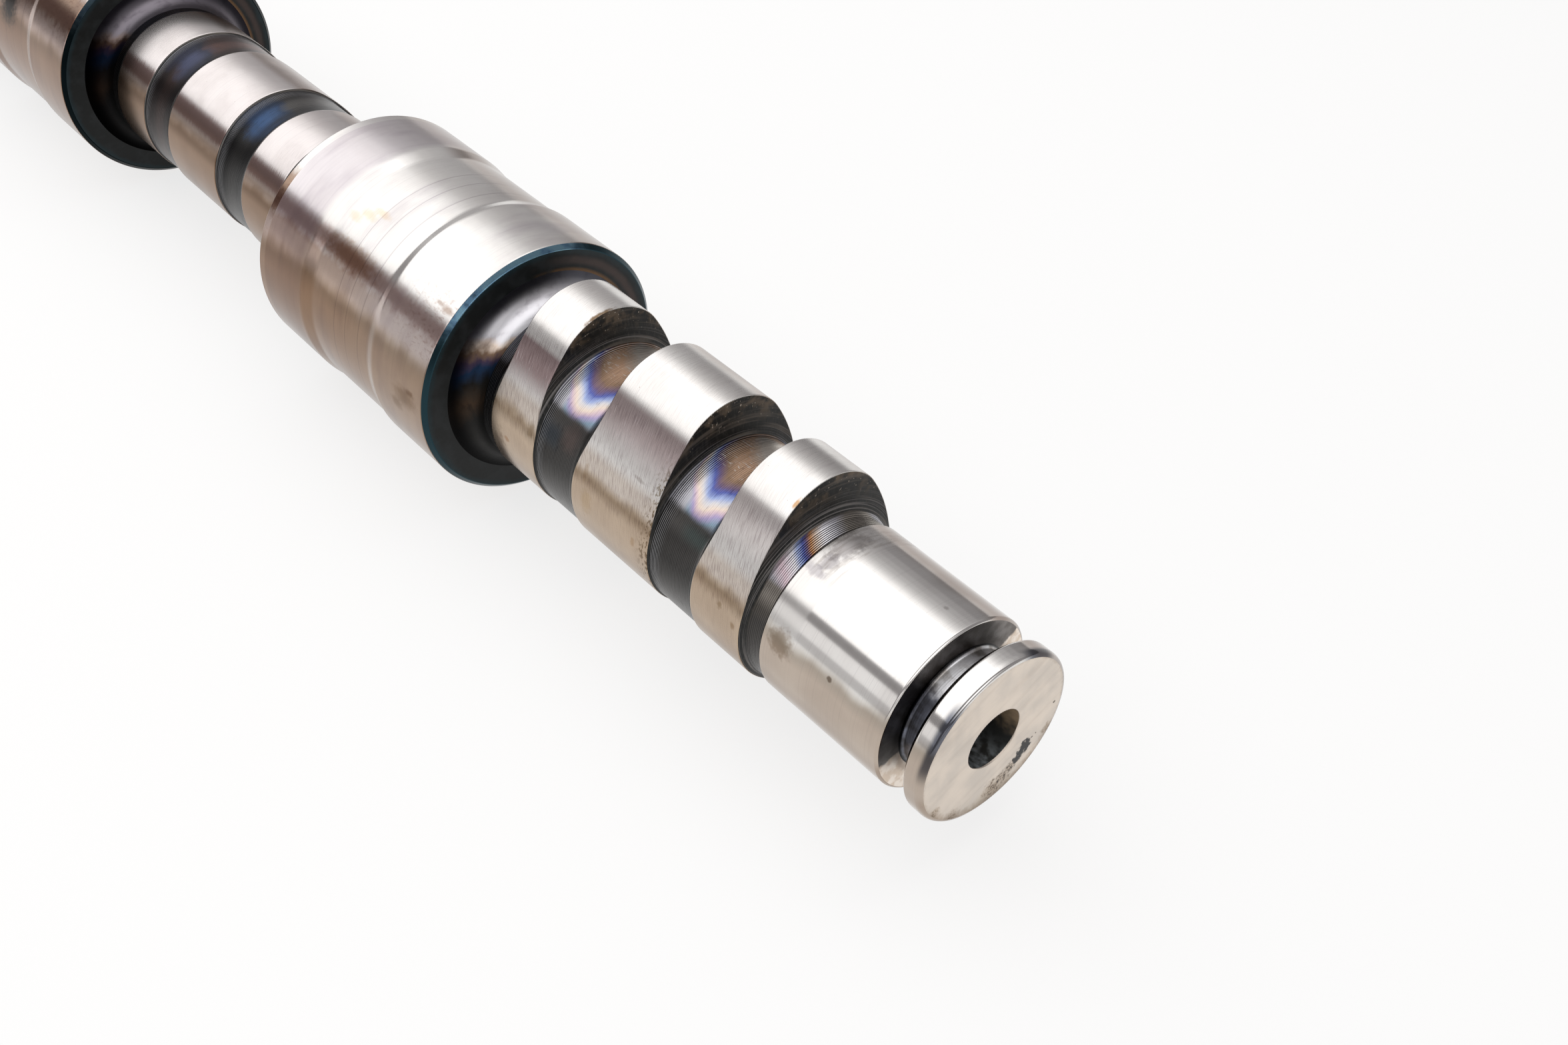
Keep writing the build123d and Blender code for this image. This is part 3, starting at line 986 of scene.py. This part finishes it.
def cheek_finish():
    """Black hardening scale, with brown dust on the nose, and bare metal chipped at the edges."""
    f = Finish("cheek", metallic=0.0, specular=0.25)
    dust = f.noise(3.0, 5.0)
    marks = f.noise((2.0, 0.5, 1.6), 4.0)
    radius = f.radius()
    turned = f.joined(radius, f.angle, f.x)
    colour = f.mix(f.fade(marks, 0.45, 0.75), (0.008, 0.0085, 0.008), (0.03, 0.028, 0.025))
    high = f.fade(radius, 21.0, 27.0)
    colour = f.mix(f.times(high, f.fade(dust, 0.46, 0.66), 0.75), colour, (0.16, 0.115, 0.075))
    arcs = f.times(f.fade(f.noise((0.9, 60.0, 30.0), 4.0, turned), 0.5, 0.72), 0.8)
    colour = f.mix(arcs, colour, (0.105, 0.088, 0.072))
    low = f.fade(f.wobble(radius, dust, 2.0), 24.0, 20.0)
    rings = f.times(f.fade(f.noise((0.22, 90.0, 30.0), 2.0, turned), 0.52, 0.66), low)
    colour = f.mix(rings, colour, (0.15, 0.14, 0.135))
    crumbs = f.times(f.fade(f.noise(0.7), 0.66, 0.72), high)
    colour = f.mix(crumbs, colour, (0.42, 0.36, 0.30))
    return f.finish(colour, f.wobble(0.5, marks, 0.2), dust, 0.12)


def journal_face_finish():
    """The main journals' end faces: blued black, with a blue bloom at the rim.

    On the back side a brown ring runs near the rim, and an orange one at the flare's foot.
    """
    f = Finish("journal_face", metallic=0.0, specular=0.25)
    cloud = f.noise(4.0, 4.0)
    radius = f.radius()
    colour = f.mix(f.fade(cloud, 0.4, 0.7), (0.004, 0.005, 0.005), (0.013, 0.015, 0.016))
    back = f.band(f.wobble(f.angle, cloud, 40.0), -110.0, -18.0, 16.0)
    ring = f.times(f.band(f.wobble(radius, cloud, 0.8), 25.6, 27.2, 0.6), back, 0.8)
    colour = f.mix(ring, colour, (0.062, 0.040, 0.034))
    foot = f.times(f.band(radius, 23.0, 24.6, 0.4), back, 0.8)
    colour = f.mix(foot, colour, (0.17, 0.085, 0.03))
    rim = f.times(f.fade(f.wobble(radius, cloud, 1.5), 27.4, 28.8), 0.7)
    colour = f.mix(rim, colour, (0.008, 0.024, 0.030))
    return f.finish(colour, f.wobble(0.48, cloud, 0.2), cloud, 0.05)


# the scratches' lean on the lobes, and the radius at which their run round a lobe is measured
SCRATCH_LEAN = math.radians(-12.0)
SCRATCH_RADIUS = 24.0


def lobe_finish():
    """Ground cams: fine slanting scratches, chips along the near edges, a few small stains, and bands
    of painted shade and painted reflection round their sides.
    """
    f = Finish("lobe")
    colour, _, patches = ground_colour(f, 9.0)
    local, farther = f.cylinder()
    nearest = f.minus(1.0, farther)
    to_bottom = f.fade(f.angle, 175.0, 165.0)
    run = f.times(f.angle, math.radians(SCRATCH_RADIUS))
    cos_lean = math.cos(SCRATCH_LEAN)
    sin_lean = math.sin(SCRATCH_LEAN)
    a = f.plus(f.times(run, cos_lean), f.times(f.x, sin_lean))
    b = f.minus(f.times(f.x, cos_lean), f.times(run, sin_lean))
    scratches = f.noise((3.4, 0.22, 1.0), 4.0, f.joined(a, b, 0.0))
    rougher = f.fade(f.x, 240.0, 180.0)
    scratched = f.maths("MAXIMUM", f.band(f.angle, 19.0, 74.0, 5.0), 0.25)
    scratched = f.times(scratched, f.fade(scratches, 0.44, 0.66), rougher)
    colour = f.stain(colour, scratched, (0.62, 0.58, 0.59), 0.8)
    colour = f.stain(colour, f.fade(f.noise(0.55, 1.0), 0.78, 0.82), (0.6, 0.55, 0.5))
    # painted dark streak of reflection on the farther lobes' round side
    round_side = f.band(f.wobble(f.angle, scratches, 6.0), 43.0, 56.0, 3.0)
    colour = f.stain(colour, f.times(round_side, farther), (0.42, 0.31, 0.29))
    # painted shade underneath on the farther lobes
    below = f.times(f.fade(f.angle, 54.0, 60.0), to_bottom, farther)
    colour = f.stain(colour, below, (0.66, 0.58, 0.52))
    colour = f.stain(colour, farther, (0.88, 0.845, 0.855))
    late = f.times(f.fade(local, 104.0, 106.0), 6.0)
    turn = f.minus(f.angle, late)
    strength = f.plus(f.times(f.fade(local, 65.0, 74.0), 0.45), f.times(late, 0.07), 0.35)
    # painted dark streak of reflection, mauve, on the nearest lobes
    mauve = f.times(f.fade(turn, 16.0, 20.0), f.fade(f.wobble(turn, scratches, 22.0), 44.0, 24.0))
    colour = f.stain(colour, f.times(mauve, nearest, strength), (0.50, 0.39, 0.40))
    # painted pale reflection from 24 to 62 degrees, broken by the scratches
    pale = f.times(f.fade(scratches, 0.40, 0.30), f.band(turn, 24.0, 62.0, 4.0), nearest, 0.55)
    colour = f.mix(pale, colour, (0.74, 0.70, 0.70))
    # painted warm reflection from 49 to 70 degrees
    colour = f.stain(colour, f.band(f.angle, 49.0, 70.0, 4.0), (0.74, 0.67, 0.61), 0.9)
    # painted tan reflection underneath
    tan = f.times(f.fade(f.wobble(f.angle, patches, 16.0), 58.0, 66.0), to_bottom)
    colour = f.stain(colour, tan, (0.97, 0.90, 0.80))
    # painted shade behind, on the middle lobe
    pump = f.times(f.fade(local, 70.0, 72.0), f.fade(local, 100.0, 98.0))
    darkened = f.times(f.band(f.angle, -38.0, -20.0, 5.0), pump)
    colour = f.stain(colour, darkened, (0.68, 0.61, 0.57))
    near = f.times(f.fade(f.wobble(f.x, patches, 4.0), 78.5, 75.0), f.fade(f.x, 73.0, 74.0))
    near = f.times(near, f.fade(f.angle, 22.0, 40.0))
    chips = f.times(near, f.fade(f.noise((0.45, 0.9, 0.9), 3.0), 0.5, 0.62))
    colour = f.stain(colour, chips, (0.42, 0.36, 0.28))
    colour = f.marked(colour, LOBE_MARKS, 0.9, 1.1)
    return f.finish(colour, f.wobble(0.24, patches, 0.08), f.times(scratches, rougher), 0.0016)


LOBE_MARKS = (
    (47.3, 10.0, 0.4, 2.0, (0.75, 0.5, 0.3)),
    (52.8, 74.0, 0.6, 2.2, (0.68, 0.63, 0.56)),
    (48.6, 80.0, 0.5, 2.0, (0.70, 0.63, 0.54)),
    (80.6, 45.0, 1.6, 1.0, (0.72, 0.69, 0.68)),
    (78.6, 82.0, 0.6, 3.0, (0.84, 0.76, 0.66)),
    (93.6, 82.0, 1.6, 7.0, (0.93, 0.89, 0.80)),
    (95.0, 63.0, 0.6, 6.0, (0.84, 0.79, 0.73)),
    (112.9, -1.0, 0.5, 7.0, (0.28, 0.2, 0.13)),
    (113.4, 66.0, 0.9, 5.0, (0.70, 0.65, 0.58)),
    (121.0, 86.0, 0.8, 1.6, (0.80, 0.66, 0.54)),
    (123.6, 100.0, 1.6, 14.0, (0.6, 0.55, 0.5)),
)


# the fine lines turned into the recess, as along the first cylinder
RECESS_LINES = (163.0, 168.2, 172.7)


def journal_finish():
    """A ground main journal: fine circular lines in its recess, a painted dark streak of reflection,
    painted shade and warm reflection underneath, and a few spots.
    """
    f = Finish("journal")
    colour, lines, _ = ground_colour(f, 16.0)
    local, farther = f.cylinder()
    haze = f.noise((5.0, 18.0, 18.0), 4.0)
    colour = f.stain(colour, f.fade(haze, 0.45, 0.75), (0.80, 0.775, 0.81), 0.8)
    grain = f.noise((0.9, 1.6, 1.6), 4.0)
    # painted dark streak of reflection at 43 to 52 degrees
    streak = f.times(f.band(f.wobble(f.angle, grain, 3.0), 43.0, 52.0, 3.0), f.fade(grain, -0.3, 0.4))
    colour = f.stain(colour, streak, (0.62, 0.47, 0.45))
    grit = f.times(f.band(f.angle, 33.0, 60.0, 5.0), f.fade(local, 160.0, 138.0))
    grit = f.times(grit, f.fade(f.noise((1.2, 0.7, 0.7), 4.0), 0.5, 0.75))
    colour = f.stain(colour, grit, (0.74, 0.66, 0.63))
    # painted shade and painted tan reflection underneath, darker further along the journal
    down = f.times(f.fade(f.wobble(f.angle, haze, 8.0), 50.0, 54.0), f.fade(f.angle, 175.0, 165.0))
    colour = f.stain(colour, down, (0.80, 0.72, 0.70))
    tan = f.times(down, f.fade(f.wobble(f.angle, haze, 20.0), 60.0, 68.0))
    colour = f.stain(colour, tan, (0.84, 0.79, 0.70))
    colour = f.stain(colour, f.times(down, f.fade(local, 150.0, 176.0)), (0.80, 0.70, 0.62))
    colour = f.stain(colour, f.band(local, 187.0, 202.5, 1.5), (0.84, 0.81, 0.85))
    # painted dark streak of reflection, brown, on the farther journals, and painted shade under them
    brown = f.times(f.band(f.wobble(f.angle, grain, 4.0), 33.0, 54.0, 4.0), farther)
    colour = f.stain(colour, brown, (0.42, 0.30, 0.23))
    colour = f.stain(colour, f.times(down, farther), (0.84, 0.76, 0.73))
    for place in RECESS_LINES:
        line = f.band(local, place - 0.14, place + 0.14, 0.12)
        colour = f.stain(colour, line, (0.72, 0.70, 0.72), 0.8)
    colour = f.marked(colour, JOURNAL_MARKS, 0.5, 1.3)
    return f.finish(colour, f.wobble(0.2, haze, 0.08), lines, 0.0008)


JOURNAL_MARKS = (
    (139.0, 38.0, 1.6, 1.4, (0.62, 0.53, 0.48)),
    (142.0, 37.4, 1.2, 0.8, (0.66, 0.58, 0.54)),
    (173.0, 47.0, 9.0, 5.0, (0.62, 0.46, 0.34)),
    (173.0, 24.0, 2.4, 1.6, (0.98, 0.87, 0.73)),
    (176.0, 28.0, 2.4, 2.0, (0.98, 0.87, 0.73)),
    (179.0, 32.0, 2.0, 2.0, (0.98, 0.88, 0.76)),
    (143.0, 82.0, 3.6, 4.0, (0.66, 0.58, 0.48)),
    (146.4, 88.0, 1.8, 2.6, (0.66, 0.58, 0.48)),
    (141.0, 78.0, 1.2, 1.3, (0.60, 0.50, 0.40)),
    (343.6, 61.0, 4.2, 10.0, (0.045, 0.042, 0.042)),
)


def journal_rim_finish():
    """The bevel before a journal, blued by heat, its pale blue painted as a highlight near the top
    and painted dark elsewhere, and nearly black on the farther journals.
    """
    f = Finish("journal_rim")
    cloud = f.noise(2.5, 3.0)
    colour = f.mix(f.fade(cloud, 0.35, 0.65), look(*RIM_PALE, 1.5), look(*RIM_BLUE, 1.5))
    colour = f.stain(colour, f.fade(cloud, 0.6, 0.7), (0.4, 0.36, 0.34), 0.7)
    # painted highlight: the pale blue only about 10 degrees, and painted dark shade beyond
    off = f.maths("ABSOLUTE", f.minus(f.angle, 10.0))
    dark = f.fade(f.wobble(off, cloud, 14.0), 28.0, 42.0)
    colour = f.mix(dark, colour, (0.018, 0.04, 0.05))
    colour = f.stain(colour, f.fade(f.x, 290.0, 300.0), (0.2, 0.17, 0.16))
    return f.finish(colour, 0.26)


def gear_end_finish():
    """The turned gear seat and end face: plain bright steel with even tool rings."""
    f = Finish("gear_end")
    colour, _, patches = ground_colour(f)
    radius = f.radius()
    faced = f.fade(f.x, SHAFT_END - 0.3, SHAFT_END - 0.1)
    rings = f.mix(faced, tool_rings(f, f.x, 0.3), tool_rings(f, radius, 0.35))
    colour = f.stain(colour, f.fade(radius, 6.4, 5.6), (0.4, 0.38, 0.35), 0.8)
    return f.finish(colour, f.wobble(0.22, patches, 0.08), rings, 0.002)


# each finish and its maker; a rounded edge between two finishes has the later one of the two
MAKERS = {
    "bore_wall": bore_finish,
    "collar_face": collar_face_finish,
    "collar_rim": collar_rim_finish,
    "groove": groove_finish,
    "end_face": end_face_finish,
    "journal_face": journal_face_finish,
    "end_journal": end_journal_finish,
    "first_neck": first_neck_finish,
    "cheek": cheek_finish,
    "lobe": lobe_finish,
    "neck": neck_finish,
    "flare": flare_finish,
    "journal_rim": journal_rim_finish,
    "journal": journal_finish,
    "gear_end": gear_end_finish,
}
FINISHES = tuple(MAKERS)


def add_lamp(name, place, aim, size, radiance):
    """A soft box of a size in metres at a place, turned to an aim, long side along the shaft.

    A lamp's power is pi times its area times the brightness of its face.
    """
    lamp = bpy.data.lights.new(name, "AREA")
    lamp.shape = "RECTANGLE"
    lamp.size, lamp.size_y = size
    lamp.energy = math.pi * size[0] * size[1] * radiance
    item = bpy.data.objects.new(name, lamp)
    item.location = place
    item.rotation_euler = (Vector(aim) - Vector(place)).to_track_quat("-Z", "Y").to_euler()
    item.visible_camera = False
    bpy.context.scene.collection.objects.link(item)


def add_band(name, low, high, start, end, radiance):
    """A lamp that covers the directions from low to high, in degrees from +Z towards +Y.

    It lies on a circle of LAMP_REACH about the shaft, from start to end along the shaft.
    """
    middle = math.radians((low + high) / 2.0)
    width = LAMP_REACH * math.radians(high - low)
    x = (start + end) / 2.0
    place = (x, LAMP_REACH * math.sin(middle), LAMP_REACH * math.cos(middle))
    add_lamp(name, place, (x, 0.0, 0.0), (end - start, width), radiance)


# the camera at the photograph's place and angle: place and aim in metres, its lens, and how
# near and how far it sees
CAMERA_PLACE = Vector((-0.12005, 0.15415, 0.23853))
CAMERA_AIM = Vector((0.06545, -0.00826, 0.0))
SENSOR_WIDTH = 36.0
LENS = 39.82
NEAREST_SEEN = 0.01
FARTHEST_SEEN = 200.0


def add_camera():
    """The camera, level from side to side and turned to its aim."""
    lens = bpy.data.cameras.new("camera")
    lens.sensor_fit = "HORIZONTAL"
    lens.sensor_width = SENSOR_WIDTH
    lens.lens = LENS
    lens.clip_start = NEAREST_SEEN
    lens.clip_end = FARTHEST_SEEN
    item = bpy.data.objects.new("camera", lens)
    item.location = CAMERA_PLACE
    item.rotation_euler = (CAMERA_AIM - CAMERA_PLACE).to_track_quat("-Z", "Y").to_euler()
    bpy.context.scene.collection.objects.link(item)
    bpy.context.scene.camera = item


# the floor: half its width in metres, its colour, and how much of it is white where it is seen
FLOOR_HALF = 60.0
FLOOR_COLOUR = (0.93, 0.92, 0.90, 1.0)
FLOOR_WHITE = 0.75


def floor_paper():
    """Dull pale paper that is part plain white to the camera, in reflections and through glass."""
    paper = bpy.data.materials.new("floor_paper")
    paper.use_nodes = True
    nodes = paper.node_tree.nodes
    links = paper.node_tree.links
    shader = nodes["Principled BSDF"]
    shader.inputs["Base Color"].default_value = FLOOR_COLOUR
    shader.inputs["Roughness"].default_value = 1.0
    shader.inputs["Specular IOR Level"].default_value = 0.0
    rays = nodes.new("ShaderNodeLightPath")
    seen = rays.outputs["Is Camera Ray"]
    for ray in ("Is Glossy Ray", "Is Transmission Ray"):
        either = nodes.new("ShaderNodeMath")
        either.operation = "ADD"
        links.new(seen, either.inputs[0])
        links.new(rays.outputs[ray], either.inputs[1])
        seen = either.outputs[0]
    share = nodes.new("ShaderNodeMath")
    share.operation = "MULTIPLY"
    share.use_clamp = True
    share.inputs[1].default_value = FLOOR_WHITE
    links.new(seen, share.inputs[0])
    both = nodes.new("ShaderNodeMixShader")
    links.new(share.outputs[0], both.inputs[0])
    links.new(shader.outputs[0], both.inputs[1])
    links.new(nodes.new("ShaderNodeEmission").outputs[0], both.inputs[2])
    links.new(both.outputs[0], nodes["Material Output"].inputs["Surface"])
    return paper


def add_floor():
    """A wide pale floor that the journals lie on."""
    z = -JOURNAL_RADIUS * MM
    sides = ((-1, -1), (1, -1), (1, 1), (-1, 1))
    corners = [(x * FLOOR_HALF, y * FLOOR_HALF, z) for x, y in sides]
    mesh = bpy.data.meshes.new("floor")
    mesh.from_pydata(corners, [], [(0, 1, 2, 3)])
    mesh.materials.append(floor_paper())
    item = bpy.data.objects.new("floor", mesh)
    bpy.context.scene.collection.objects.link(item)


# how far the round lamps lie from the shaft's axis, the flat one's height and light, and the
# light that comes from all round
LAMP_REACH = 0.9
OVERHEAD_HEIGHT = 0.8
OVERHEAD_LIGHT = 1.3
WORLD_GREY = (0.30, 0.29, 0.295, 1.0)
# the soft box overhead: from and to along the shaft, and from and to across it, in metres, with
# the camera between the first length and the others
OVERHEAD = (
    (-2.2, -0.8, -0.46, 0.975),
    (-0.25, 0.75, -0.46, 0.975),
    (0.75, 2.4, -0.2, 0.975),
)
# how it fades out behind for each of these lengths: degrees to the end of each step, and light
NEAR_FADE = (
    (-30.0, 0.0),
    (-34.2, 1.0),
    (-37.0, 0.74),
    (-40.0, 0.58),
    (-44.0, 0.43),
    (-50.0, 0.29),
    (-58.0, 0.18),
    (-68.0, 0.09),
)
FAR_FADE = (
    (-14.0, 0.0),
    (-24.0, 1.2),
    (-34.0, 0.98),
    (-42.0, 0.62),
    (-52.0, 0.38),
    (-62.0, 0.26),
    (-74.0, 0.18),
    (-86.0, 0.12),
)
FADES = (NEAR_FADE, NEAR_FADE, FAR_FADE)
# the strips in front: from and to along the shaft, from and to in degrees, and light
STRIPS = (
    (-2.2, -0.8, 62.5, 79.0, 0.72),
    (-2.2, -0.8, 79.0, 89.0, 0.30),
    (-0.2, 0.8, 62.5, 79.0, 0.72),
    (-0.2, 0.8, 79.0, 89.0, 0.30),
    (0.8, 1.5, 70.0, 89.0, 0.40),
)


def add_light():
    """A wide soft box overhead that fades out behind, strips in front, and plain grey around."""
    world = bpy.data.worlds.new("studio")
    world.use_nodes = True
    grey = world.node_tree.nodes["Background"]
    grey.inputs["Color"].default_value = WORLD_GREY
    bpy.context.scene.world = world
    for k, (start, end, low, high) in enumerate(OVERHEAD):
        middle = ((start + end) / 2.0, (low + high) / 2.0)
        size = (end - start, high - low)
        add_lamp(f"overhead_{k}", (*middle, OVERHEAD_HEIGHT), (*middle, 0.0), size, OVERHEAD_LIGHT)
        for step, ((edge, _), (far_edge, light)) in enumerate(zip(FADES[k], FADES[k][1:]), 1):
            add_band(f"fade_{k}_{step}", far_edge, edge, start, end, light)
    for k, (start, end, low, high, light) in enumerate(STRIPS):
        add_band(f"strip_{k}", low, high, start, end, light)
    bpy.context.scene.view_settings.view_transform = "Standard"


def main():
    """The stage first, then the skin with its finishes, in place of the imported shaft."""
    add_camera()
    add_floor()
    add_light()
    skin = make_skin("shaft", shaft_outline())
    for name in FINISHES:
        skin.data.materials.append(MAKERS[name]())
    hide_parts("camshaft")
    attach(skin, "root")


main()
